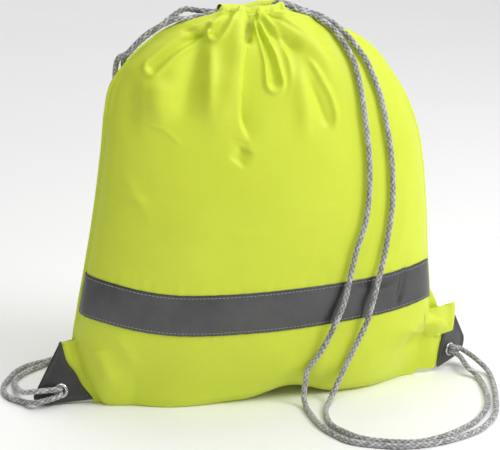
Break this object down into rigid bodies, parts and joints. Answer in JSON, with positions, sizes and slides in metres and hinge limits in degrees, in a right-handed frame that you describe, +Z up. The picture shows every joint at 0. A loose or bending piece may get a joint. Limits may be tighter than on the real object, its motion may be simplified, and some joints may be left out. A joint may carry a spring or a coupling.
{
  "type": "drawstring backpack",
  "caption": "Filled drawstring backpack in bright yellow fabric, gathered at the neck, with a grey reflective band, corner tabs with eyelets, and braided draw cords that serve as straps.",
  "frame": {"origin": "on the floor under the middle of the bag, in the plane of the side seams", "axes": "+Z up, -Y towards the front with the band, +X to the right seen from the front"},
  "size_m": [0.435, 0.2993, 0.3425],
  "materials": {
    "hi_vis_fabric": "satin",
    "reflective_tape": "satin",
    "corner_leatherette": "satin",
    "eyelet_metal": "polished",
    "cord_braid": "matte"
  },
  "bodies": {
    "bag": {"front_panel": "hi_vis_fabric", "back_panel": "hi_vis_fabric", "front_neck_hem": "hi_vis_fabric", "back_neck_hem": "hi_vis_fabric", "reflective_band": "reflective_tape", "left_tab_front": "corner_leatherette", "left_tab_back": "corner_leatherette", "right_tab_front": "corner_leatherette", "right_tab_back": "corner_leatherette", "left_eyelet": "eyelet_metal", "left_eyelet_washer": "eyelet_metal", "right_eyelet": "eyelet_metal", "right_eyelet_washer": "eyelet_metal", "left_channel_cord": "cord_braid", "right_channel_cord": "cord_braid", "left_cord_front": "cord_braid", "left_cord_back": "cord_braid", "right_cord_front": "cord_braid", "right_cord_back": "cord_braid"},
    "left_cord_end": {"left_cord_knot": "cord_braid"},
    "right_cord_end": {"right_cord_knot": "cord_braid"}
  },
  "joints": [
    {"name": "left_cord_slide", "type": "slide", "parent": "bag", "child": "left_cord_end", "axis": [0, 1, 0], "range_m": [0, 0.006]},
    {"name": "right_cord_slide", "type": "slide", "parent": "bag", "child": "right_cord_end", "axis": [-0.6157, 0.788, 0], "range_m": [0, 0.006]}
  ]
}
